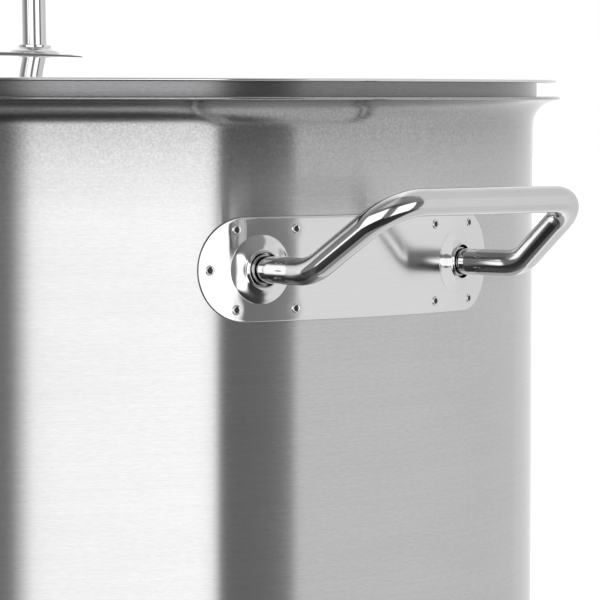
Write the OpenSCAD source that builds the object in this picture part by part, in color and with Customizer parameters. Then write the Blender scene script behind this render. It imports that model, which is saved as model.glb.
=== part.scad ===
// Brew kettle: brushed steel pot with a flared lip, two welded rod handles
// and a loose domed lid with a rod handle. Millimetres, +Z up.
// The pot stands on z = 0 with its axis on Z. Side handles point along +X and -X.
// A pushed-in skirt holds the lid's flat brim a little above the pot's lip.

/* [Pot] */
// outer radius of the straight wall
wall_r = 229; // [150:1:300]
// sheet thickness of the pot and the lid
sheet = 1.2; // [0.8:0.1:2]
// height of the lip's top face
pot_h = 450; // [300:5:600]
// radius of the hollow curve under the lip
flare_r = 10; // [6:0.5:14]
// flat width past the curve
lip_flat = 0.5; // [0.2:0.1:3]
// outer corner radius where the floor meets the wall
foot_r = 12; // [6:1:25]

/* [Base] */
// thickness of the aluminium disc under the floor
core_h = 5; // [3:0.5:8]
// outer radius of the steel cap over that disc
cap_r = 214; // [120:1:280]
// sheet thickness of the cap
cap_t = 1; // [0.6:0.1:1.5]

/* [Lid] */
// outer radius of the brim
brim_r = 238.2; // [160:0.2:310]
// clear height between the lip and the brim
brim_gap = 5.2; // [2:0.1:12]
// height of the dome above the brim
dome_h = 9.6; // [4:0.2:30]
// sphere radius of the dome
dome_sphere_r = 1275; // [600:5:3000]
// outer radius of the skirt's upper band
skirt_r = 230.4; // [150:0.2:300]
// outer radius of the skirt's lower spigot
spigot_r = 227.4; // [140:0.1:290]
// depth of the spigot's end below the lip
spigot_depth = 12; // [6:0.5:30]

/* [Rod handles] */
// rod diameter
rod_d = 9.5; // [6:0.5:14]
// height of the side handles' plate centre
plate_z = 390.6; // [200:1:560]
// arc half length of a handle plate
plate_half = 74.2; // [50:0.2:120]
// half height of a handle plate
plate_w = 18.1; // [12:0.1:30]
// thickness of a handle plate
plate_t = 1.2; // [0.8:0.1:2]
// arc distance from the plate's middle to a rod's foot
foot_arc = 50; // [30:0.2:80]
// half distance between the lower bends' corner points
bend1_half = 53.2; // [30:0.2:80]
// distance of the lower bend from the wall
bend1_out = 23.2; // [15:0.2:40]
// distance of the grip's line from the wall
grip_out = 55.9; // [35:0.2:90]
// rise of the grip above the feet
grip_up = 24; // [0:0.5:50]
// half distance between the grip's corner points
grip_half = 47; // [30:0.5:80]
// bend radius at the lower bends
bend1_r = 16; // [10:0.5:30]
// bend radius at the grip's corners
bend2_r = 16; // [10:0.5:30]

/* [Bosses and welds] */
// outer radius of a side handle's boss
boss_r = 12; // [8:0.1:16]
// outer radius of a lid handle's boss
lid_boss_r = 10.4; // [8:0.1:16]
// height of a side handle's boss at its collar
boss_h = 2.6; // [2:0.1:8]
// height of a lid handle's boss at its collar
lid_boss_h = 3.8; // [2:0.1:8]
// radius of a spot weld
weld_r = 1.8; // [1:0.1:3]
// arc distance from the plate's middle to the end weld, outer pair and inner pair
weld_arc = [69.8, 59.6, 35.5];
// height of the weld pairs above and below the plate's middle line
weld_up = 13.8; // [8:0.1:20]

/* [Lid handle] */
// half distance between the posts at the lid
post_half = 45.6; // [25:0.2:80]
// height of the grip's line above the plate
post_h = 50; // [30:1:90]
// inward lean of the posts in degrees
post_lean = 1.2; // [0:0.1:10]
// arc half length of the lid's handle plate
lid_plate_half = 66; // [40:0.2:100]
// half height of the lid's handle plate
lid_plate_w = 16; // [10:0.1:25]

/* [Hidden] */
$fn = 96;
lap = 0.1;
thin = 0.02;
rod_r = rod_d / 2;
lip_low = pot_h - sheet;
flare_z = lip_low - flare_r;
floor_z = cap_t + core_h;
brim_z = pot_h + brim_gap;
brim_top = brim_z + sheet;
dome_top = brim_top + dome_h;
dome_zc = dome_top - dome_sphere_r;
plate_out = wall_r + plate_t;
foot_deg = foot_arc / wall_r * 180 / PI;
rod_deg = atan2(bend1_half - (wall_r + plate_t) * sin(foot_deg),
  wall_r + bend1_out - (wall_r + plate_t) * cos(foot_deg));
lid_plate_top = dome_top + plate_t;
steel = [0.78, 0.78, 0.79];
bright = [0.88, 0.88, 0.89];
alu = [0.70, 0.71, 0.73];

// ---- vectors and bent rods ----
function unit(v) = v / norm(v);
function angle_of(u, w) = acos(u * w);
function setback(u, w, r) = r * tan(angle_of(u, w) / 2);

// round bar from a to b
module bar(a, b, r) {
  d = b - a;
  translate(a) rotate([0, acos(d[2] / norm(d)), atan2(d[1], d[0])])
    cylinder(h = norm(d), r = r, $fn = 48);
}

// quarter-torus style bend at corner p, from heading u to heading w
module bend(p, u, w, rb, r) {
  ang = angle_of(u, w);
  toward = unit(w - (w * u) * u);
  start = p - setback(u, w, rb) * u;
  mx = -toward;
  mz = cross(mx, u);
  translate(start + rb * toward)
    rotate([atan2(u[2], mz[2]), -asin(mx[2]), atan2(mx[1], mx[0])])
      rotate_extrude(angle = ang, $fn = 96) translate([rb, 0]) circle(r = r, $fn = 48);
}

// bar along a list of corners, with one bend radius for each inner corner
// straight lengths run a little way into the bends, which are a hair thinner
module bent_rod(p, rb, r) {
  n = len(p);
  u = [for (i = [0 : n - 2]) unit(p[i + 1] - p[i])];
  s = [for (i = [0 : n - 1])
    (i == 0 || i == n - 1) ? 0 : setback(u[i - 1], u[i], rb[i - 1]) - lap];
  union() {
    for (i = [0 : n - 2])
      bar(p[i] + s[i] * u[i], p[i + 1] - s[i + 1] * u[i], r);
    for (i = [1 : n - 2])
      bend(p[i], u[i - 1], u[i], rb[i - 1], r - thin);
  }
}

// ---- pot ----
module kettle_wall() {
  color(steel) rotate_extrude($fn = 256)
    translate([wall_r - sheet, floor_z + foot_r])
      square([sheet, flare_z - floor_z - foot_r]);
}

module kettle_lip() {
  color(steel) rotate_extrude($fn = 256) union() {
    intersection() {
      translate([wall_r + flare_r, flare_z]) difference() {
        circle(r = flare_r + sheet, $fn = 96);
        circle(r = flare_r, $fn = 96);
      }
      translate([wall_r - sheet, flare_z]) square([flare_r + sheet, flare_r + sheet]);
    }
    translate([wall_r + flare_r, lip_low]) square([lip_flat, sheet]);
  }
}

module kettle_floor() {
  color(steel) rotate_extrude($fn = 256) union() {
    translate([0, floor_z]) square([wall_r - foot_r, sheet]);
    intersection() {
      translate([wall_r - foot_r, floor_z + foot_r]) difference() {
        circle(r = foot_r, $fn = 96);
        circle(r = foot_r - sheet, $fn = 96);
      }
      translate([wall_r - foot_r, floor_z]) square([foot_r, foot_r]);
    }
  }
}

module base_core() {
  color(alu) translate([0, 0, cap_t])
    cylinder(h = core_h, r = cap_r - cap_t, $fn = 256);
}

module base_cap() {
  soft = 2.5;
  color(steel) rotate_extrude($fn = 256) union() {
    square([cap_r - soft, cap_t]);
    translate([cap_r - cap_t, soft]) square([cap_t, floor_z - soft]);
    intersection() {
      translate([cap_r - soft, soft]) difference() {
        circle(r = soft, $fn = 48);
        square([soft - cap_t, soft - cap_t] * 2, center = true);
      }
      translate([cap_r - soft, 0]) square([soft, soft]);
    }
  }
}

// ---- side handles, drawn on +X and turned for -X ----
// point on the wall at arc distance a, height z and distance out from the wall
function on_wall(a, z, out) =
  let (t = a / wall_r * 180 / PI)
  [(wall_r + out) * cos(t), (wall_r + out) * sin(t), z];

module place_on_wall(a, z, out) {
  translate(on_wall(a, z, out)) rotate([0, 0, a / wall_r * 180 / PI]) rotate([0, 90, 0])
    children();
}

module side_plate() {
  flat_half = wall_r * sin(plate_half / wall_r * 180 / PI);
  color(bright) intersection() {
    translate([0, 0, plate_z - plate_w - 1]) difference() {
      cylinder(h = 2 * plate_w + 2, r = plate_out, $fn = 256);
      translate([0, 0, -1]) cylinder(h = 2 * plate_w + 4, r = wall_r, $fn = 256);
    }
    translate([wall_r * 0.7, 0, plate_z]) rotate([90, 0, 90])
      linear_extrude(height = wall_r) union() {
        square([2 * (flat_half - plate_w), 2 * plate_w], center = true);
        for (s = [-1, 1])
          translate([s * (flat_half - plate_w), 0]) circle(r = plate_w, $fn = 96);
      }
  }
}

module side_rod() {
  low = [wall_r + bend1_out, bend1_half, plate_z];
  foot = on_wall(foot_arc, plate_z, plate_t) + 0.5 * [cos(rod_deg), sin(rod_deg), 0];
  high = [wall_r + grip_out, grip_half, plate_z + grip_up];
  flip = [1, -1, 1];
  p = [foot, low, high];
  q = [for (v = p) [v[0] * flip[0], v[1] * flip[1], v[2] * flip[2]]];
  color(bright) bent_rod([p[0], p[1], p[2], q[2], q[1], q[0]],
    [bend1_r, bend2_r, bend2_r, bend1_r], rod_r);
}

// pressed boss on z = 0, open underneath, with a turned-up collar round the rod
module boss_shape(r, h, sink) {
  collar = rod_r + 1.7;
  reach = r - collar - 0.7;
  rise = h - 1.2;
  color(bright) rotate_extrude($fn = 96) polygon(concat(
    [[r, -sink]],
    [for (k = [0 : 4]) [r - reach * k / 4, 0.45 + rise * sin(22.5 * k)]],
    [[collar + 0.15, h - 0.55], [collar, h - 0.2], [collar - 0.2, h],
     [collar - 0.4, h], [collar - 0.6, h - 0.2], [collar - 0.6, h - 1.3],
     [collar + 0.9, h - 1.5], [r - 1.1, -sink]]
  ));
}

module side_boss(s) {
  difference() {
    place_on_wall(s * foot_arc, plate_z, plate_t) boss_shape(boss_r, boss_h, 0.6);
    translate([0, 0, plate_z - 30]) cylinder(h = 60, r = plate_out, $fn = 256);
  }
}

// weld collar round the rod's foot, a clear gap off the rod
module ferrule_shape(h, sink, gap) {
  color(steel) rotate_extrude($fn = 72) polygon([
    [rod_r + gap, -sink], [rod_r + 0.8, -sink], [rod_r + 0.8, h - 1.3],
    [rod_r + 0.5, h - 0.7], [rod_r + gap, h - 0.6]
  ]);
}

module side_ferrule(s) {
  difference() {
    translate(on_wall(s * foot_arc, plate_z, plate_t)) rotate([0, 0, s * rod_deg])
      rotate([0, 90, 0]) ferrule_shape(boss_h, 0.8, 0.02);
    translate([0, 0, plate_z - 30]) cylinder(h = 60, r = plate_out, $fn = 256);
  }
}

// low button with a dimple left by a spot welder
module weld_button() {
  color(bright) rotate_extrude($fn = 48) polygon([
    [0, 0], [weld_r, 0], [weld_r - 0.12, 0.24], [weld_r - 0.5, 0.34],
    [weld_r - 0.9, 0.16], [0, 0.12]
  ]);
}

module side_welds() {
  for (s = [-1, 1]) {
    place_on_wall(s * weld_arc[0], plate_z, plate_t) weld_button();
    for (a = [weld_arc[1], weld_arc[2]], u = [-1, 1])
      place_on_wall(s * a, plate_z + u * weld_up, plate_t) weld_button();
  }
}

module right_handle_plate() side_plate();
module right_handle_rod() side_rod();
module right_front_boss() side_boss(-1);
module right_rear_boss() side_boss(1);
module right_front_ferrule() side_ferrule(-1);
module right_rear_ferrule() side_ferrule(1);
module right_spot_welds() side_welds();
module left_handle_plate() rotate([0, 0, 180]) side_plate();
module left_handle_rod() rotate([0, 0, 180]) side_rod();
module left_front_boss() rotate([0, 0, 180]) side_boss(1);
module left_rear_boss() rotate([0, 0, 180]) side_boss(-1);
module left_front_ferrule() rotate([0, 0, 180]) side_ferrule(1);
module left_rear_ferrule() rotate([0, 0, 180]) side_ferrule(-1);
module left_spot_welds() rotate([0, 0, 180]) side_welds();

// ---- lid ----
module lid_dome() {
  seam = sqrt(pow(dome_sphere_r - sheet, 2) - pow(brim_z - dome_zc, 2));
  color(bright) rotate_extrude($fn = 256) union() {
    intersection() {
      translate([0, dome_zc]) difference() {
        circle(r = dome_sphere_r, $fn = 256);
        circle(r = dome_sphere_r - sheet, $fn = 256);
      }
      translate([0, brim_z]) square([brim_r - 5, dome_h + 2 * sheet]);
    }
    translate([seam, brim_z]) square([brim_r - seam, sheet]);
  }
}

// joggled ring: the upper band rests on the flare, the spigot drops into the mouth
module lid_skirt() {
  rest_z = flare_z + sqrt(pow(flare_r + sheet, 2) - pow(wall_r + flare_r - skirt_r, 2)) + 0.4;
  drop = skirt_r - spigot_r;
  color(steel) rotate_extrude($fn = 256) polygon([
    [skirt_r, brim_z], [skirt_r, rest_z], [spigot_r, rest_z - drop],
    [spigot_r, pot_h - spigot_depth], [spigot_r - sheet, pot_h - spigot_depth],
    [spigot_r - sheet, rest_z - drop + sheet / 2],
    [skirt_r - sheet, rest_z + sheet / 2], [skirt_r - sheet, brim_z]
  ]);
}

module lid_handle_plate() {
  color(bright) intersection() {
    translate([0, 0, dome_top - 10]) linear_extrude(height = 20) union() {
      square([2 * lid_plate_w, 2 * (lid_plate_half - lid_plate_w)], center = true);
      for (s = [-1, 1])
        translate([0, s * (lid_plate_half - lid_plate_w)]) circle(r = lid_plate_w, $fn = 96);
    }
    rotate_extrude($fn = 256) intersection() {
      translate([0, dome_zc]) difference() {
        circle(r = dome_sphere_r + plate_t, $fn = 256);
        circle(r = dome_sphere_r, $fn = 256);
      }
      translate([0, dome_top - 10]) square([lid_plate_half + 5, 15]);
    }
  }
}

// height of the lid plate's top at distance d from the axis
function lid_z(d) = dome_zc + sqrt(pow(dome_sphere_r + plate_t, 2) - d * d);

// stands children on the lid plate's top at x, y, square to the dome
module place_on_lid(x, y) {
  translate([0, 0, dome_zc])
    rotate([0, asin(norm([x, y]) / (dome_sphere_r + plate_t)), atan2(y, x)])
      translate([0, 0, dome_sphere_r + plate_t]) children();
}

module lid_handle_rod() {
  z0 = lid_z(post_half);
  top = [0, post_half - post_h * tan(post_lean), z0 + post_h];
  foot = [0, post_half, z0 + 0.35];
  color(bright) bent_rod([foot, top, [0, -top[1], top[2]], [0, -foot[1], foot[2]]],
    [bend2_r, bend2_r], rod_r);
}

module lid_boss(s) place_on_lid(0, s * post_half) boss_shape(lid_boss_r, lid_boss_h, 0);

module lid_ferrule(s) place_on_lid(0, s * post_half) ferrule_shape(lid_boss_h, 0, 0.25);

module lid_spot_welds() {
  k = lid_plate_half / plate_half;
  for (s = [-1, 1]) {
    place_on_lid(0, s * weld_arc[0] * k) weld_button();
    for (a = [weld_arc[1], weld_arc[2]], u = [-1, 1])
      place_on_lid(u * weld_up * k, s * a * k) weld_button();
  }
}

module lid_front_boss() lid_boss(-1);
module lid_rear_boss() lid_boss(1);
module lid_front_ferrule() lid_ferrule(-1);
module lid_rear_ferrule() lid_ferrule(1);

kettle_wall();
kettle_lip();
kettle_floor();
base_core();
base_cap();
right_handle_plate();
right_handle_rod();
right_front_boss();
right_rear_boss();
right_front_ferrule();
right_rear_ferrule();
right_spot_welds();
left_handle_plate();
left_handle_rod();
left_front_boss();
left_rear_boss();
left_front_ferrule();
left_rear_ferrule();
left_spot_welds();
lid_dome();
lid_skirt();
lid_handle_plate();
lid_handle_rod();
lid_front_boss();
lid_rear_boss();
lid_front_ferrule();
lid_rear_ferrule();
lid_spot_welds();
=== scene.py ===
"""Brew kettle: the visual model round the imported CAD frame. Metres, +Z up."""

import math

import bmesh
import bpy
from mathutils import Matrix, Vector


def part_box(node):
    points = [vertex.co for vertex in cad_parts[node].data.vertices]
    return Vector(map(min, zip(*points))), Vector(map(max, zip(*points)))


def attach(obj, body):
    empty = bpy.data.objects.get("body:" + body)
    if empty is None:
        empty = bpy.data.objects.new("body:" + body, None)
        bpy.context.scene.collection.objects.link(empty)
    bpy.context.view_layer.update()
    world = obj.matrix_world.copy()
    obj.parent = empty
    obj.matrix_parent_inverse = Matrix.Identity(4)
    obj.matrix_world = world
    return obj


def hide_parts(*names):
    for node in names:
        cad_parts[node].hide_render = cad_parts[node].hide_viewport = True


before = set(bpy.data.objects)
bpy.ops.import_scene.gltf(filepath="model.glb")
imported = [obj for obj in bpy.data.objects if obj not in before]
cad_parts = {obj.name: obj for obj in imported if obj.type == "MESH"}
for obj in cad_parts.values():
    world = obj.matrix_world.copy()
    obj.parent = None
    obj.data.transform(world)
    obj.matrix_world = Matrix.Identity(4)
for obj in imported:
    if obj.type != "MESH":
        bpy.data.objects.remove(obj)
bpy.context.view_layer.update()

MM = 0.001
KETTLE, LID = "kettle", "lid"


# ---------------------------------------------------------------- sizes, from the CAD frame
wall_low, wall_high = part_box("kettle_wall")
lip_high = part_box("kettle_lip")[1]
floor_low, floor_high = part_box("kettle_floor")
cap_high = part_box("base_cap")[1]
dome_low, dome_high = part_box("lid_dome")
skirt_low, skirt_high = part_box("lid_skirt")

SHEET = 1.2 * MM                        # thickness of the pot's and the lid's sheet
WALL_R = wall_high.y
LIP_R = lip_high.y
POT_H = lip_high.z
FLARE_R = 10 * MM                       # hollow curve under the lip
FLARE_Z = wall_high.z
FOOT_R = floor_high.z - floor_low.z
CAP_R = cap_high.y
CAP_T = 1.0 * MM
BRIM_R = dome_high.y
BRIM_Z = dome_low.z
DOME_TOP = dome_high.z
DOME_SPHERE_R = 1275 * MM
SKIRT_R = skirt_high.y
SPIGOT_R = 227.4 * MM
PLATE_T = 1.2 * MM
ROD_R = 4.75 * MM

side_low, side_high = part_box("right_handle_plate")
rod_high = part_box("right_handle_rod")[1]
PLATE_Z = (side_low.z + side_high.z) / 2
PLATE_W = (side_high.z - side_low.z) / 2
PLATE_HALF = 74.2 * MM                  # half length, measured round the wall
FOOT_ARC = 50 * MM                      # from the plate's middle to a rod's foot
BEND1_HALF = 53.2 * MM                  # lower bend, from the middle and from the wall
BEND1_OUT = 23.2 * MM
GRIP_OUT = rod_high.x - ROD_R - WALL_R
GRIP_UP = rod_high.z - ROD_R - PLATE_Z
GRIP_HALF = 47.0 * MM
BEND_R = 16 * MM

lid_plate_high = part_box("lid_handle_plate")[1]
LID_PLATE_HALF = lid_plate_high.y
LID_PLATE_W = lid_plate_high.x
POST_HALF = 45.6 * MM
POST_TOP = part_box("lid_handle_rod")[1].z - ROD_R
POST_LEAN = math.radians(1.2)

BOSS_R = 12 * MM
LID_BOSS_R = 10.4 * MM
BOSS_H = 2.6 * MM
LID_BOSS_H = 3.7 * MM
WELD_R = 1.8 * MM
WELD_UP = 13.8 * MM                     # height of the weld pairs off the plate's middle line
WELD_ARCS = (69.8 * MM, 59.6 * MM, 35.5 * MM)   # end weld, outer pair, inner pair


# ---------------------------------------------------------------- node helpers for materials
def math_node(tree, operation, a, b=None, c=None, clamp=False):
    n = tree.nodes.new("ShaderNodeMath")
    n.operation, n.use_clamp = operation, clamp
    for i, v in enumerate((a, b, c)):
        if v is None:
            continue
        if isinstance(v, (int, float)):
            n.inputs[i].default_value = v
        else:
            tree.links.new(v, n.inputs[i])
    return n.outputs[0]


def ramp(tree, factor, stops, interpolation="LINEAR"):
    n = tree.nodes.new("ShaderNodeValToRGB")
    n.color_ramp.interpolation = interpolation
    elements = n.color_ramp.elements
    while len(elements) > 1:
        elements.remove(elements[-1])
    for i, (at, value) in enumerate(stops):
        e = elements[0] if i == 0 else elements.new(at)
        e.position = at
        e.color = (value, value, value, 1) if isinstance(value, float) else (*value, 1)
    tree.links.new(factor, n.inputs["Fac"])
    return n.outputs["Color"]


def new_material(name):
    m = bpy.data.materials.new(name)
    m.use_nodes = True
    t = m.node_tree
    shader = t.nodes["Principled BSDF"]
    shader.inputs["Metallic"].default_value = 1.0
    return m, t, shader


def cylinder_coords(tree):
    """Vector of (arc length, radius, height), so noise can be stretched round the axis."""
    pos = tree.nodes.new("ShaderNodeTexCoord").outputs["Object"]
    sep = tree.nodes.new("ShaderNodeSeparateXYZ")
    tree.links.new(pos, sep.inputs[0])
    x, y, z = sep.outputs
    angle = math_node(tree, "ARCTAN2", y, x)
    radius = math_node(tree, "SQRT", math_node(tree, "ADD", math_node(tree, "MULTIPLY", x, x),
                                               math_node(tree, "MULTIPLY", y, y)))
    com = tree.nodes.new("ShaderNodeCombineXYZ")
    tree.links.new(math_node(tree, "MULTIPLY", angle, WALL_R), com.inputs[0])
    tree.links.new(radius, com.inputs[1])
    tree.links.new(z, com.inputs[2])
    return com.outputs[0]


def stretched_noise(tree, coords, scale_xyz, scale, detail=4.0, roughness=0.6):
    mapping = tree.nodes.new("ShaderNodeMapping")
    mapping.inputs["Scale"].default_value = scale_xyz
    tree.links.new(coords, mapping.inputs["Vector"])
    n = tree.nodes.new("ShaderNodeTexNoise")
    n.inputs["Scale"].default_value = scale
    n.inputs["Detail"].default_value = detail
    n.inputs["Roughness"].default_value = roughness
    tree.links.new(mapping.outputs[0], n.inputs["Vector"])
    return n.outputs["Fac"]


def brushed_round(tree, shader, anisotropy):
    """Turn the shader's anisotropy so that highlights are drawn out across the brushing."""
    shader.inputs["Anisotropic"].default_value = anisotropy
    shader.inputs["Anisotropic Rotation"].default_value = 0.25
    tangent = tree.nodes.new("ShaderNodeTangent")
    tangent.direction_type, tangent.axis = "RADIAL", "Z"
    tree.links.new(tangent.outputs[0], shader.inputs["Tangent"])


def bumped(tree, shader, height, strength, distance):
    bump = tree.nodes.new("ShaderNodeBump")
    bump.inputs["Strength"].default_value = strength
    bump.inputs["Distance"].default_value = distance
    tree.links.new(height, bump.inputs["Height"])
    tree.links.new(bump.outputs[0], shader.inputs["Normal"])


def brushed(name, colour, roughness, anisotropy, grain, top=None):
    """Steel brushed in rings round the axis: fine grain lines, reflections drawn out along z.
    From the height given as top downwards the colour starts darker, as painted shade under the lip,
    and more speckled; above top it stays at its darkest."""
    m, t, shader = new_material(name)
    coords = cylinder_coords(t)
    fine = stretched_noise(t, coords, (110, 900, 900), 3.0, 3.0, 0.7)
    streak = stretched_noise(t, coords, (5, 500, 500), 3.0, 3.0, 0.6)
    cloud = stretched_noise(t, coords, (1, 1, 6), 12.0, 5.0, 0.6)
    tone = math_node(t, "ADD", math_node(t, "MULTIPLY", fine, 0.55),
                     math_node(t, "MULTIPLY", streak, 0.2))
    tone = math_node(t, "ADD", tone, math_node(t, "MULTIPLY", cloud, 0.25))
    dark = tuple(c * (1 - grain) for c in colour)
    light = tuple(min(1.0, c * (1 + grain)) for c in colour)
    tint = ramp(t, tone, [(0.3, dark), (0.7, light)])
    if top is not None:
        split = t.nodes.new("ShaderNodeSeparateXYZ")
        t.links.new(coords, split.inputs[0])
        # 0 at the top, 1 at 100 mm below it
        down = math_node(t, "MULTIPLY", math_node(t, "SUBTRACT", top, split.outputs[2]), 10.0)
        speck = math_node(t, "SUBTRACT", stretched_noise(t, coords, (1, 1, 1), 1300.0, 2.0), 0.5)
        amount = ramp(t, down, [(0.0, 0.75), (0.15, 0.35), (0.35, 0.06)])
        # painted shade under the lip: colour at 0.70 at the top and above it, full again 30 mm below,
        # with the speckle laid over it
        darker_grain_and_painted_shade = ramp(t, down, [(0.0, 0.70), (0.07, 0.80), (0.14, 0.88), (0.30, 1.0)])
        darker_grain_and_painted_shade = math_node(t, "MULTIPLY", darker_grain_and_painted_shade, math_node(t, "MULTIPLY_ADD", speck, amount, 1.0))
        scaled = t.nodes.new("ShaderNodeVectorMath")
        scaled.operation = "SCALE"
        t.links.new(tint, scaled.inputs[0])
        t.links.new(darker_grain_and_painted_shade, scaled.inputs["Scale"])
        tint = scaled.outputs[0]
    t.links.new(tint, shader.inputs["Base Color"])
    rough = math_node(t, "ADD", math_node(t, "MULTIPLY", tone, 0.06), roughness - 0.03)
    t.links.new(rough, shader.inputs["Roughness"])
    brushed_round(t, shader, anisotropy)
    bumped(t, shader, fine, 0.08, 0.02 * MM)
    return m


def polished(name, colour, roughness, wave=0.0):
    """Mirror-polished steel with faint handling haze, and a slight waviness where asked."""
    m, t, shader = new_material(name)
    obj = t.nodes.new("ShaderNodeTexCoord").outputs["Object"]
    haze = stretched_noise(t, obj, (1, 1, 1), 60.0, 6.0, 0.65)
    dark = tuple(c * 0.96 for c in colour)
    t.links.new(ramp(t, haze, [(0.35, dark), (0.65, colour)]), shader.inputs["Base Color"])
    rough = math_node(t, "ADD", math_node(t, "MULTIPLY", haze, 0.05), roughness - 0.02)
    t.links.new(rough, shader.inputs["Roughness"])
    if wave:
        slow = stretched_noise(t, obj, (1, 1, 1), 26.0, 1.0, 0.4)
        bumped(t, shader, slow, wave, 0.3 * MM)
    return m


def belt_polished(name, colour, roughness):
    """Bright steel finished with a belt along its length: crisp sideways, softer up and down."""
    m, t, shader = new_material(name)
    fine = stretched_noise(t, cylinder_coords(t), (6, 400, 400), 3.0, 3.0, 0.6)
    darker_grain_and_painted_shade = tuple(c * 0.975 for c in colour)
    t.links.new(ramp(t, fine, [(0.3, darker_grain_and_painted_shade), (0.7, colour)]), shader.inputs["Base Color"])
    rough = math_node(t, "ADD", math_node(t, "MULTIPLY", fine, 0.02), roughness - 0.01)
    t.links.new(rough, shader.inputs["Roughness"])
    brushed_round(t, shader, 1.0)
    return m


def steel(value):
    """Grey of steel, a touch bluer than neutral."""
    return (value, value, value + 0.005)


# top=FLARE_Z paints shade under the lip: the wall darker just below it, and the whole lip at the
# darkest
WALL_STEEL = brushed("wall_steel", steel(0.61), 0.168, 1.0, 0.10, top=FLARE_Z)
LIP_STEEL = brushed("lip_steel", steel(0.61), 0.18, 0.95, 0.11, top=FLARE_Z)
INSIDE_STEEL = brushed("inside_steel", steel(0.58), 0.36, 0.6, 0.06)
# colour 0.25, far darker than the wall's steel: painted shade of the band recessed under the lid's
# brim
BAND_STEEL = brushed("band_steel", steel(0.25), 0.24, 0.8, 0.28)
LID_STEEL = polished("lid_steel", steel(0.82), 0.05, wave=0.03)
PLATE_STEEL = belt_polished("plate_steel", steel(0.84), 0.10)
LID_PLATE_STEEL = polished("lid_plate_steel", steel(0.84), 0.06)
# sheared plate edge: roughness of cut steel, colour 0.22 painted shade of the gap under a plate's
# edge
EDGE_SHADE_STEEL = polished("sheared_edge_painted_shade", steel(0.22), 0.35)
ROD_STEEL = polished("rod_steel", steel(0.74), 0.06)
BOSS_STEEL = polished("boss_steel", steel(0.84), 0.08)
WELD_STEEL = polished("weld_steel", steel(0.60), 0.20)
BUTTON_STEEL = polished("button_steel", steel(0.78), 0.10)
PIT_STEEL = polished("weld_pit", (0.07, 0.07, 0.072), 0.40)
CORE_ALLOY = brushed("core_alloy", (0.70, 0.71, 0.73), 0.35, 0.3, 0.05)


# ---------------------------------------------------------------- mesh helpers
LARGE_ROUND = 384                       # segments round the pot and the lid


def finish_mesh(name, verts, faces, material, body, nodes, slot, sharp=35, close=False,
                second=None, second_faces=()):
    """Piece of one mesh that rides on a body and stands for some CAD nodes. Edges sharper
    than sharp degrees stay crisp, close joins doubled vertices, and second is the material
    of the faces listed in second_faces."""
    mesh = bpy.data.meshes.new(name)
    mesh.from_pydata([tuple(v) for v in verts], [], faces)
    mesh.materials.append(material)
    if second is not None:
        mesh.materials.append(second)
        for i in second_faces:
            mesh.polygons[i].material_index = 1
    if close:
        work = bmesh.new()
        work.from_mesh(mesh)
        bmesh.ops.remove_doubles(work, verts=work.verts, dist=1e-6)
        bmesh.ops.recalc_face_normals(work, faces=work.faces)
        work.to_mesh(mesh)
        work.free()
    mesh.validate()
    mesh.update()
    for p in mesh.polygons:
        p.use_smooth = True
    mesh.set_sharp_from_angle(angle=math.radians(sharp))
    obj = bpy.data.objects.new(name, mesh)
    bpy.context.scene.collection.objects.link(obj)
    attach(obj, body)
    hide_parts(*nodes)


def arc(cx, cy, r, start, end, steps):
    """Points on an arc of a profile, angles in degrees."""
    span = [math.radians(start + (end - start) * i / steps) for i in range(steps + 1)]
    return [(cx + r * math.cos(a), cy + r * math.sin(a)) for a in span]


def lathe_data(profile, segments):
    """Closed profile of (radius, height) turned round the axis, ring by ring. A point on the
    axis becomes one vertex."""
    verts, rings = [], []
    for r, z in profile:
        if r < 1e-7:
            rings.append([len(verts)] * segments)
            verts.append(Vector((0, 0, z)))
        else:
            rings.append(list(range(len(verts), len(verts) + segments)))
            verts += [Vector((r * math.cos(2 * math.pi * i / segments),
                              r * math.sin(2 * math.pi * i / segments), z))
                      for i in range(segments)]
    faces = []
    for k, a in enumerate(rings):
        b = rings[(k + 1) % len(rings)]
        for i in range(segments):
            j = (i + 1) % segments
            quad = [a[i], a[j], b[j], b[i]]
            face = [v for n, v in enumerate(quad) if v not in quad[:n]]
            if len(face) > 2:
                faces.append(face)
    return verts, faces


def lathe(name, profile, material, body, nodes, slot, segments=LARGE_ROUND, sharp=35,
          place=None):
    verts, faces = lathe_data(profile, segments)
    if place is not None:
        verts = [place @ v for v in verts]
    finish_mesh(name, verts, faces, material, body, nodes, slot, sharp)


def merge(parts):
    """One vertex and face list from several (verts, faces) pairs."""
    verts, faces = [], []
    for v, f in parts:
        base = len(verts)
        verts += list(v)
        faces += [[i + base for i in face] for face in f]
    return verts, faces


# ---------------------------------------------------------------- placing on the wall and the lid
def on_wall(side, arc_at, z, out=0.0):
    """Frame standing on the wall: local z points out of the pot, local y goes round it."""
    turn = Matrix.Rotation((0 if side > 0 else math.pi) + arc_at / WALL_R, 4, "Z")
    stand = Matrix.Rotation(math.pi / 2, 4, "Y")
    return turn @ Matrix.Translation((WALL_R + out, 0, z)) @ stand


def on_lid(x, y, out=0.0):
    """Frame standing square on the lid's dome at x, y."""
    d = math.hypot(x, y)
    centre = Vector((0, 0, DOME_TOP - DOME_SPHERE_R))
    tilt = math.asin(d / (DOME_SPHERE_R + out))
    return (Matrix.Translation(centre) @ Matrix.Rotation(math.atan2(y, x), 4, "Z")
            @ Matrix.Rotation(tilt, 4, "Y") @ Matrix.Translation((0, 0, DOME_SPHERE_R + out)))


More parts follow.
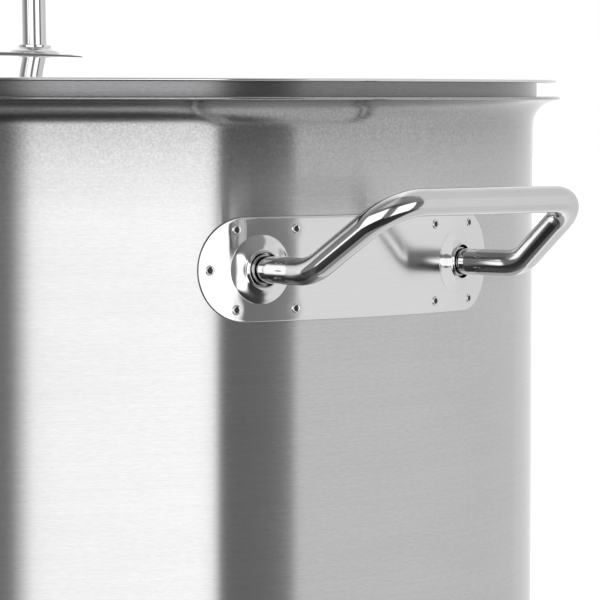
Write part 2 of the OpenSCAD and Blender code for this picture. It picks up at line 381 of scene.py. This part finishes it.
# ---------------------------------------------------------------- pot
def pot():
    inner = WALL_R - SHEET
    lathe("wall_sleeve", [(WALL_R, wall_low.z), (WALL_R, FLARE_Z), (inner, FLARE_Z),
                          (inner, wall_low.z)],
          WALL_STEEL, KETTLE, ["kettle_wall"], "brushed_wall")
    cx = WALL_R + FLARE_R
    edge = SHEET / 2
    lip = arc(cx, FLARE_Z, FLARE_R, 180, 90, 24)
    lip += arc(LIP_R - edge, POT_H - edge, edge, -90, 90, 10)
    lip += arc(cx, FLARE_Z, FLARE_R + SHEET, 90, 180, 24)
    lathe("flared_lip", lip, LIP_STEEL, KETTLE, ["kettle_lip"], "brushed_wall", sharp=60)
    foot_x = WALL_R - FOOT_R
    z0 = floor_low.z
    floor = [(0, z0)] + [(foot_x * k / 6, z0) for k in range(1, 6)]
    floor += arc(foot_x, z0 + FOOT_R, FOOT_R, -90, 0, 16)
    floor += arc(foot_x, z0 + FOOT_R, FOOT_R - SHEET, 0, -90, 16)
    floor += [(foot_x * k / 6, z0 + SHEET) for k in range(5, 0, -1)] + [(0, z0 + SHEET)]
    lathe("pot_floor", floor, INSIDE_STEEL, KETTLE, ["kettle_floor"], "inner_floor")
    soft = 2.5 * MM                     # rounding of the cap's lower edge
    cap = [(0, 0)] + [(CAP_R * k / 6, 0) for k in range(1, 6)]
    cap += arc(CAP_R - soft, soft, soft, -90, 0, 10)
    cap += [(CAP_R, cap_high.z), (CAP_R - CAP_T, cap_high.z), (CAP_R - CAP_T, CAP_T),
            (0, CAP_T)]
    lathe("clad_cap", cap, WALL_STEEL, KETTLE, ["base_cap"], "brushed_wall", 288)


# ---------------------------------------------------------------- rods
def rounded_path(corners, r, step=0.7 * MM):
    """The corners joined by straight lengths and arcs of radius r, as (point, heading) pairs."""
    out = [(corners[0], (corners[1] - corners[0]).normalized())]
    for i in range(1, len(corners) - 1):
        u = (corners[i] - corners[i - 1]).normalized()
        w = (corners[i + 1] - corners[i]).normalized()
        turn = u.angle(w)
        start = corners[i] - u * r * math.tan(turn / 2)
        toward = (w - u * w.dot(u)).normalized()
        centre = start + toward * r
        steps = max(6, int(r * turn / step))
        for k in range(steps + 1):
            a = turn * k / steps
            out.append((centre - toward * r * math.cos(a) + u * r * math.sin(a),
                        u * math.cos(a) + toward * math.sin(a)))
    out.append((corners[-1], (corners[-1] - corners[-2]).normalized()))
    return out


def rod(name, corners, body, nodes, sides=40):
    """Round handle rod bent at the inner corners, with flat ends."""
    path = rounded_path(corners, BEND_R)
    side = path[0][1].orthogonal().normalized()
    verts, faces = [], []
    for p, heading in path:
        side = (side - heading * side.dot(heading)).normalized()
        other = heading.cross(side)
        verts += [p + (side * math.cos(2 * math.pi * k / sides)
                       + other * math.sin(2 * math.pi * k / sides)) * ROD_R
                  for k in range(sides)]
    rows = len(path)
    for i in range(rows - 1):
        for k in range(sides):
            j = (k + 1) % sides
            faces.append([i * sides + k, i * sides + j, (i + 1) * sides + j,
                          (i + 1) * sides + k])
    faces.append(list(range(sides))[::-1])
    faces.append([(rows - 1) * sides + k for k in range(sides)])
    finish_mesh(name, verts, faces, ROD_STEEL, body, nodes, "polished_rod", 60)


def side_rod(side, word):
    """Grip that rises above its feet and is symmetric about its middle."""
    low = Vector((WALL_R + BEND1_OUT, BEND1_HALF, PLATE_Z))
    stand = on_wall(1, FOOT_ARC, PLATE_Z, PLATE_T).translation
    foot = stand + (low - stand).normalized() * 0.5 * MM
    high = Vector((WALL_R + GRIP_OUT, GRIP_HALF, PLATE_Z + GRIP_UP))
    half = [foot, low, high]
    corners = half + [Vector((p.x, -p.y, p.z)) for p in reversed(half)]
    if side < 0:
        corners = [Vector((-p.x, -p.y, p.z)) for p in corners]
    rod(word + "_grip_rod", corners, KETTLE, [word + "_handle_rod"])


# ---------------------------------------------------------------- plates
BACK_LOOPS, EDGE_LOOPS, FACE_LOOPS = 8, 5, 26   # loops across a plate's back, edge and face


def pill_loops(half, w, edge, t, straight=56, round_steps=40):
    """Closed skin of a pill-shaped plate, from the middle line of its back, out round the
    edge and in to the middle line of its face. Each loop lists (along, across, height)."""
    def loop(inset, h):
        r = w - inset
        c = half - w
        pts = [(-c + 2 * c * i / straight, -r, h) for i in range(straight)]
        pts += [(c + r * math.cos(math.radians(a)), r * math.sin(math.radians(a)), h)
                for a in [-90 + 180 * i / round_steps for i in range(round_steps)]]
        pts += [(c - 2 * c * i / straight, r, h) for i in range(straight)]
        pts += [(-c + r * math.cos(math.radians(a)), r * math.sin(math.radians(a)), h)
                for a in [90 + 180 * i / round_steps for i in range(round_steps)]]
        return pts
    loops = [loop(w * (1 - k / BACK_LOOPS), 0.0) for k in range(BACK_LOOPS + 1)]
    loops.append(loop(0.0, t - edge))
    for k in range(1, EDGE_LOOPS + 1):
        a = math.radians(90 * k / EDGE_LOOPS)
        loops.append(loop(edge * (1 - math.cos(a)), t - edge + edge * math.sin(a)))
    loops += [loop(edge + (w - edge) * k / FACE_LOOPS, t) for k in range(1, FACE_LOOPS + 1)]
    return loops


def drawn_in(along):
    """How far a side plate's face sinks towards its ends, which are drawn tight to the pot.
    The face leans by two degrees round the outer spot welds."""
    start, full, ease, end = 46 * MM, 58 * MM, 62 * MM, 74 * MM
    lean = 0.035                        # slope where the face leans most, two degrees

    def eased(u):
        return u ** 3 - u ** 4 / 2

    a = abs(along)
    into = min(1.0, max(0.0, (a - start) / (full - start)))
    out = min(1.0, max(0.0, (a - ease) / (end - ease)))
    run = (eased(into) * (full - start) + min(ease - full, max(0.0, a - full))
           + (out - eased(out)) * (end - ease))
    return lean * run


def dent(along, across, spots):
    """Shallow hollow that each spot weld pulls into the sheet."""
    radius, deepest = 2.7 * MM, 0.030 * MM
    depth = 0.0
    for a, c in spots:
        d2 = ((along - a) ** 2 + (across - c) ** 2) / radius ** 2
        depth += deepest * math.exp(-d2)
    return depth


def plate(name, half, w, place_point, spots, material, body, nodes, sink=None):
    """Pill-shaped plate with a dent at each spot weld and a sheared edge, rough as cut steel and
    painted dark as shade of the gap under it. The face is lowered by sink, a function of the distance
    along the plate."""
    edge = 0.35 * MM                    # rounding between the sheared edge and the face
    loops = pill_loops(half, w, edge, PLATE_T)
    n = len(loops[0])
    verts = []
    for pts in loops:
        for a, c, h in pts:
            if sink is not None:
                h -= sink(a) * h / PLATE_T
            if h > PLATE_T * 0.5:
                h -= dent(a, c, spots)
            verts.append(place_point(a, c, h))
    faces, sheared = [], []
    for k in range(len(loops) - 1):
        for i in range(n):
            j = (i + 1) % n
            # the side and outer rounding of the edge take the edge material, painted dark as shade of
            # the gap under the plate
            if BACK_LOOPS <= k <= BACK_LOOPS + 2:
                sheared.append(len(faces))
            faces.append([k * n + i, k * n + j, (k + 1) * n + j, (k + 1) * n + i])
    finish_mesh(name, verts, faces, material, body, nodes, "polished_plate", 50, close=True,
                second=EDGE_SHADE_STEEL, second_faces=sheared)


def weld_spots(k=1.0):
    """Places of the ten spot welds as (along, across), on a plate k times the usual size."""
    spots = []
    for s in (-1, 1):
        spots.append((s * WELD_ARCS[0] * k, 0.0))
        spots += [(s * a * k, u * WELD_UP * k) for a in WELD_ARCS[1:] for u in (-1, 1)]
    return spots


def side_plate(side, word):
    base = 0 if side > 0 else math.pi

    def place_point(a, c, h):
        t = base + a / WALL_R
        return Vector(((WALL_R + h) * math.cos(t), (WALL_R + h) * math.sin(t), PLATE_Z + c))

    plate(word + "_pill_plate", PLATE_HALF, PLATE_W, place_point, weld_spots(), PLATE_STEEL,
          KETTLE, [word + "_handle_plate"], drawn_in)


# ---------------------------------------------------------------- bosses, collars, welds
def boss_profile(r, h, domed):
    """Pressed sheet boss: a slightly hollowed cone, or a domed shoulder, then a hollow
    curve up into a thin collar round the rod."""
    collar, base, skirt = ROD_R + 1.7 * MM, ROD_R + 2.6 * MM, 0.06 * MM
    outer = [(r, 0.0), (r, skirt * 0.6)]
    if domed:
        slope, steps = math.radians(66), 16
        ease = (r - base) / math.sin(slope)
        rise = ease * (1 - math.cos(slope))
        for i in range(steps + 1):
            a = slope * (1 - i / steps)
            outer.append((base + ease * math.sin(a), skirt + rise - ease * (1 - math.cos(a))))
    else:
        at, up, steps = r - 0.12 * MM, skirt, 24
        outer.append((at, up))
        run = (at - base) / steps
        for i in range(steps):
            u = (i + 0.5) / steps
            # 15.5 degrees half way up, steeper towards the rim and the collar
            slope = 15.5 + 6 * abs(2 * u - 0.9) ** 2.2
            at, up = at - run, up + run * math.tan(math.radians(slope))
            outer.append((at, up))
    shoulder = outer[-1][1]
    turn = min(base - collar, h - shoulder - 0.2 * MM)
    # the hollow curve sets out flat on a dome, and already rising on a cone
    first = 0 if domed else math.asin(0.45)
    span = math.pi / 2 - first
    for k in range(1, 9):
        a = first + span * k / 8
        outer.append((base - (base - collar) * (math.sin(a) - math.sin(first))
                      / (1 - math.sin(first)),
                      shoulder + turn * (math.cos(first) - math.cos(a)) / math.cos(first)))
    outer += arc(collar - 0.2 * MM, h - 0.2 * MM, 0.2 * MM, 0, 180, 8)
    outer += [(collar - 0.45 * MM, h - 1.2 * MM), (collar + 0.9 * MM, h - 1.6 * MM),
              (r - 1.2 * MM, 0.0)]
    return outer


def ferrule_profile(h, sink, gap):
    """Neat weld ring round the rod's foot, clear of the collar of a boss of height h. It
    starts sink below its plate and stands off the rod by gap."""
    return [(ROD_R + gap, -sink), (ROD_R + 0.7 * MM, -sink), (ROD_R + 0.55 * MM, h - 1.1 * MM),
            (ROD_R + 0.40 * MM, h - 0.8 * MM), (ROD_R + 0.15 * MM + gap, h - 0.7 * MM),
            (ROD_R + gap, h - 0.75 * MM)]


WELD_SINK = 0.04 * MM                   # how far a spot weld stands into its plate


def button_profile():
    """Spot weld: a ring squeezed up round the electrode's dimple."""
    ring, hole = 0.34 * MM, 0.05 * MM
    pts = [(0, hole)]
    pts += [(WELD_R * 0.58 * k / 5, hole + (ring * 0.6) * (k / 5) ** 3) for k in range(1, 6)]
    pts += [(WELD_R * (0.65 + 0.25 * k / 6), ring * (0.78 + 0.22 * math.sin(math.pi * k / 6)))
            for k in range(7)]
    pts += [(WELD_R * 0.96, ring * 0.5), (WELD_R, 0.02 * MM), (WELD_R, -0.02 * MM),
            (0, -0.02 * MM)]
    return pts[::-1]


def weld_buttons(name, places, body, nodes):
    """All the spot welds of one plate, with the bottom of each dimple burnt dark."""
    parts, pits, count = [], [], 0
    for place in places:
        v, f = lathe_data(button_profile(), 40)
        pits += [count + i for i, face in enumerate(f)
                 if all(math.hypot(v[k].x, v[k].y) < WELD_R * 0.59 and v[k].z > 0 for k in face)]
        count += len(f)
        parts.append(([place @ p for p in v], f))
    finish_mesh(name, *merge(parts), BUTTON_STEEL, body, nodes, "weld_buttons", 60,
                second=PIT_STEEL, second_faces=pits)


def draped(v, foot):
    """Pull a boss's foot down onto the plate's curve, leaving its collar true."""
    collar = 7.3 * MM
    share = min(1.0, max(0.0, (math.hypot(v.x, v.y) - collar) / (BOSS_R - collar)))
    curve = v.y ** 2 / (2 * (WALL_R + PLATE_T))
    return v - Vector((0, 0, share * (curve + drawn_in(foot + v.y))))


BOSS_ROUND, FERRULE_ROUND = 96, 72      # segments round a boss and a weld collar


def side_fittings(side, word):
    """Bosses, weld collars and spot welds of one side handle. Front is towards -Y."""
    for s, end in ((-1, "front"), (1, "rear")):
        foot = s * FOOT_ARC if side > 0 else -s * FOOT_ARC
        place = on_wall(side, foot, PLATE_Z, PLATE_T)
        verts, faces = lathe_data(boss_profile(BOSS_R, BOSS_H, False), BOSS_ROUND)
        finish_mesh(f"{word}_{end}_escutcheon", [place @ draped(v, foot) for v in verts],
                    faces, BOSS_STEEL, KETTLE, [f"{word}_{end}_boss"], "polished_boss", 50)
        stand = on_wall(1, s * FOOT_ARC, PLATE_Z, PLATE_T).translation
        low = Vector((WALL_R + BEND1_OUT, s * BEND1_HALF, PLATE_Z))
        lean = math.atan2(low.y - stand.y, low.x - stand.x)
        ring = (Matrix.Translation(stand) @ Matrix.Rotation(lean, 4, "Z")
                @ Matrix.Rotation(math.pi / 2, 4, "Y"))
        if side < 0:
            ring = Matrix.Rotation(math.pi, 4, "Z") @ ring
        node_end = end if side > 0 else ("rear" if end == "front" else "front")
        lathe(f"{word}_{node_end}_weld_collar", ferrule_profile(BOSS_H, -0.1 * MM, 0.02 * MM),
              WELD_STEEL, KETTLE, [f"{word}_{node_end}_ferrule"], "weld_collars",
              FERRULE_ROUND, 50, ring)
    weld_buttons(word + "_weld_dimples",
                 [on_wall(side, a, PLATE_Z + c, PLATE_T - drawn_in(a) - WELD_SINK)
                  for a, c in weld_spots()],
                 KETTLE, [word + "_spot_welds"])


# ---------------------------------------------------------------- lid
def lid():
    """Shallow spherical dome with a flat brim, and under it the skirt that steps in to a
    spigot where it meets the lip's curve."""
    zc = DOME_TOP - DOME_SPHERE_R
    inner = DOME_SPHERE_R - SHEET
    top_r = math.sqrt(DOME_SPHERE_R ** 2 - (BRIM_Z + SHEET - zc) ** 2)
    low_r = math.sqrt(inner ** 2 - (BRIM_Z - zc) ** 2)
    edge = SHEET / 2

    def cap_z(sphere, r):
        return zc + math.sqrt(sphere ** 2 - r * r)

    steps = 40
    prof = [(0, DOME_TOP)] + [(top_r * k / steps, cap_z(DOME_SPHERE_R, top_r * k / steps))
                              for k in range(1, steps + 1)]
    prof += [(top_r + (BRIM_R - top_r) * k / 8, BRIM_Z + SHEET) for k in range(1, 8)]
    prof += arc(BRIM_R - edge, BRIM_Z + edge, edge, 90, -90, 8)
    prof += [(low_r * (1 - k / steps), cap_z(inner, low_r * (1 - k / steps)))
             for k in range(steps + 1)]
    lathe("lid_sheet", prof[::-1], LID_STEEL, LID, ["lid_dome"], "polished_lid", sharp=60)

    clear = 0.4 * MM
    rest_z = FLARE_Z + clear + math.sqrt((FLARE_R + SHEET) ** 2
                                         - (WALL_R + FLARE_R - SKIRT_R) ** 2)
    drop = SKIRT_R - SPIGOT_R
    # the band takes BAND_STEEL, painted shade under the brim
    lathe("lid_ring", [(SKIRT_R, rest_z), (SKIRT_R, BRIM_Z), (SKIRT_R - SHEET, BRIM_Z),
                       (SKIRT_R - SHEET, rest_z + SHEET / 2),
                       (SPIGOT_R - SHEET, rest_z - drop + SHEET / 2), (SPIGOT_R - SHEET, skirt_low.z),
                       (SPIGOT_R, skirt_low.z), (SPIGOT_R, rest_z - drop)],
          BAND_STEEL, LID, ["lid_skirt"], "brushed_band")


def lid_handle():
    def place_point(a, c, h):
        r2 = a * a + c * c
        z = DOME_TOP - DOME_SPHERE_R + math.sqrt((DOME_SPHERE_R + h) ** 2 - r2)
        return Vector((-c, a, z))

    k = LID_PLATE_HALF / PLATE_HALF
    plate("lid_pill_plate", LID_PLATE_HALF, LID_PLATE_W, place_point, weld_spots(k),
          LID_PLATE_STEEL, LID, ["lid_handle_plate"])
    foot_z = on_lid(0, POST_HALF, PLATE_T).translation.z + 0.35 * MM
    rise = POST_TOP - foot_z
    top = Vector((0, POST_HALF - rise * math.tan(POST_LEAN), POST_TOP))
    foot = Vector((0, POST_HALF, foot_z))
    rod("lid_grip_rod", [foot, top, Vector((0, -top.y, top.z)), Vector((0, -foot.y, foot.z))],
        LID, ["lid_handle_rod"])
    for s, end in ((-1, "front"), (1, "rear")):
        place = on_lid(0, s * POST_HALF, PLATE_T)
        lathe(f"lid_{end}_escutcheon", boss_profile(LID_BOSS_R, LID_BOSS_H, True),
              BOSS_STEEL, LID, [f"lid_{end}_boss"], "polished_boss", BOSS_ROUND, 50, place)
        lathe(f"lid_{end}_weld_collar", ferrule_profile(LID_BOSS_H, 0.0, 0.25 * MM),
              WELD_STEEL, LID, [f"lid_{end}_ferrule"], "weld_collars", FERRULE_ROUND, 50, place)
    weld_buttons("lid_weld_dimples",
                 [on_lid(-c, a, PLATE_T - WELD_SINK) for a, c in weld_spots(k)],
                 LID, ["lid_spot_welds"])


pot()
for side, word in ((1, "right"), (-1, "left")):
    side_plate(side, word)
    side_rod(side, word)
    side_fittings(side, word)
lid()
lid_handle()
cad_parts["base_core"].data.materials.clear()
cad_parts["base_core"].data.materials.append(CORE_ALLOY)


# ---------------------------------------------------------------- camera
CAM_DISTANCE = 1.5752                   # metres from the pot's axis
CAM_HEIGHT = 0.4517                     # metres above the floor
CAM_AZIMUTH = -0.7042                   # radians round from +X
CAM_PAN = 0.0879                        # radians to the right of the pot's axis
CAM_PITCH = 0.0520                      # radians down
CAM_ROLL = 0.0020
CAM_LENS = 240.1                        # millimetres on a 36 mm sensor


def camera():
    data = bpy.data.cameras.new("camera")
    data.sensor_width, data.lens = 36, CAM_LENS
    data.clip_start, data.clip_end = 0.05, 60
    cam = bpy.data.objects.new("camera", data)
    bpy.context.scene.collection.objects.link(cam)
    cam.location = (CAM_DISTANCE * math.cos(CAM_AZIMUTH), CAM_DISTANCE * math.sin(CAM_AZIMUTH),
                    CAM_HEIGHT)
    heading = math.pi + CAM_AZIMUTH - CAM_PAN
    ahead = Vector((math.cos(heading) * math.cos(CAM_PITCH),
                    math.sin(heading) * math.cos(CAM_PITCH), -math.sin(CAM_PITCH)))
    cam.rotation_mode = "QUATERNION"
    cam.rotation_quaternion = (ahead.to_track_quat("-Z", "Y")
                               @ Matrix.Rotation(CAM_ROLL, 4, "Z").to_quaternion())
    bpy.context.scene.camera = cam


# ---------------------------------------------------------------- studio
def studio():
    """Pale floor, white surround for the camera, and a soft-box surround for the steel:
    a soft box either side of the camera between dark gaps, black below them, and even
    pale walls all the way round the back. Bands at five heights each list brightness
    against degrees round from the camera's place at rest."""
    world = bpy.data.worlds.new("studio")
    bpy.context.scene.world = world
    world.use_nodes = True
    t = world.node_tree
    t.nodes.clear()
    out = t.nodes.new("ShaderNodeOutputWorld")
    direction = t.nodes.new("ShaderNodeTexCoord").outputs["Generated"]
    sep = t.nodes.new("ShaderNodeSeparateXYZ")
    t.links.new(direction, sep.inputs[0])
    azimuth = math_node(t, "ARCTAN2", sep.outputs[1], sep.outputs[0])
    turned = math_node(t, "WRAP", math_node(t, "SUBTRACT", azimuth, CAM_AZIMUTH),
                       math.pi, -math.pi)
    along = math_node(t, "ADD", math_node(t, "DIVIDE", turned, 2 * math.pi), 0.5)
    up = math_node(t, "ADD", math_node(t, "DIVIDE", math_node(t, "ARCSINE", sep.outputs[2]),
                                       math.pi), 0.5)

    def around(right, left):
        """Stops in degrees out from the camera's side, to its right and to its left."""
        return ([(0.5 - d / 360, v) for d, v in reversed(left)]
                + [(0.5 + d / 360, v) for d, v in right])

    def above(height, start, full):
        """0 below the height start and 1 above the height full, both in degrees."""
        return ramp(t, height, [(0.5 + start / 180, 0.0), (0.5 + full / 180, 1.0)])

    def blend(factor, low, top):
        mix = t.nodes.new("ShaderNodeMix")
        mix.data_type = "RGBA"
        t.links.new(factor, mix.inputs["Factor"])
        for socket, value in ((mix.inputs[6], low), (mix.inputs[7], top)):
            t.links.new(value, socket)
        return mix.outputs[2]

    even = [(80, 0.74), (125, 0.71), (150, 0.80), (178, 1.15)]
    back = [(110, 0.50), (150, 0.80), (178, 1.15)]
    level = ramp(t, along, around([(0, 0.21), (11.5, 0.25), (13.2, 0.75), (15.5, 1.5),
                                   (20, 1.58), (50.6, 1.62), (51.4, 0.18), (62, 0.20),
                                   (67.3, 0.26), (68.8, 0.80), (100, 0.80), (125, 0.74),
                                   (146.2, 0.71), (146.6, 1.3), (147.0, 1.3),
                                   (147.5, 0.73), (162, 0.82), (178, 1.15)],
                                  [(7, 0.24), (10, 1.62), (64, 1.62), (68, 0.30),
                                   (90, 0.25)] + back))
    dark = ramp(t, along, around([(0, 0.08), (14, 0.14), (42, 0.25), (66, 0.28), (70, 0.72)]
                                 + even, [(14, 0.20), (54, 0.20), (80, 0.27)] + back))
    black = ramp(t, along, around([(0, 0.03), (60, 0.05), (67, 0.10), (74, 0.55)] + even,
                                  [(20, 0.03), (50, 0.05), (68, 0.12), (90, 0.05)] + back))
    table = ramp(t, along, around([(0, 0.28), (60, 0.30), (74, 0.50)] + even,
                                  [(30, 0.36), (78, 0.12)] + back))
    patch = ramp(t, along, around([(0, 0.45), (18, 0.26), (54, 0.30), (66, 0.40)] + even,
                                  [(10, 0.60), (30, 0.62), (54, 0.33), (78, 0.28)] + back))
    # the soft box on the right hangs lower, and the one on the left higher
    lower, higher = 0.5 + 5.5 / 180, 0.5 - 4 / 180
    hang = ramp(t, along, around([(4, lower), (90, lower)], [(4, higher), (90, higher)]))
    hung = math_node(t, "SUBTRACT", math_node(t, "ADD", up, hang), 0.5)
    view = blend(above(up, -68, -62), table, black)
    view = blend(above(hung, -24, -21), view, level)
    view = blend(above(hung, 22, 24.5), view, dark)
    view = blend(above(up, 40, 46), view, patch)
    lit = t.nodes.new("ShaderNodeBackground")
    t.links.new(view, lit.inputs["Color"])
    plain = t.nodes.new("ShaderNodeBackground")
    plain.inputs["Color"].default_value = (1, 1, 1, 1)
    choose = t.nodes.new("ShaderNodeMixShader")
    t.links.new(t.nodes.new("ShaderNodeLightPath").outputs["Is Camera Ray"], choose.inputs[0])
    t.links.new(lit.outputs[0], choose.inputs[1])
    t.links.new(plain.outputs[0], choose.inputs[2])
    t.links.new(choose.outputs[0], out.inputs["Surface"])

    half = 20                           # metres
    mesh = bpy.data.meshes.new("floor")
    mesh.from_pydata([(-half, -half, 0), (half, -half, 0), (half, half, 0), (-half, half, 0)],
                     [], [(0, 1, 2, 3)])
    floor = bpy.data.objects.new("floor", mesh)
    bpy.context.scene.collection.objects.link(floor)
    m = bpy.data.materials.new("floor_pale")
    m.use_nodes = True
    shader = m.node_tree.nodes["Principled BSDF"]
    shader.inputs["Base Color"].default_value = (0.86, 0.86, 0.86, 1)
    shader.inputs["Roughness"].default_value = 0.9
    mesh.materials.append(m)
    floor.visible_glossy = False

    sun_data = bpy.data.lights.new("overhead", "SUN")
    sun_data.energy, sun_data.angle = 3.2, math.radians(50)
    sun = bpy.data.objects.new("overhead", sun_data)
    bpy.context.scene.collection.objects.link(sun)
    sun.visible_glossy = False


camera()
studio()
bpy.context.scene.view_settings.view_transform = "Standard"
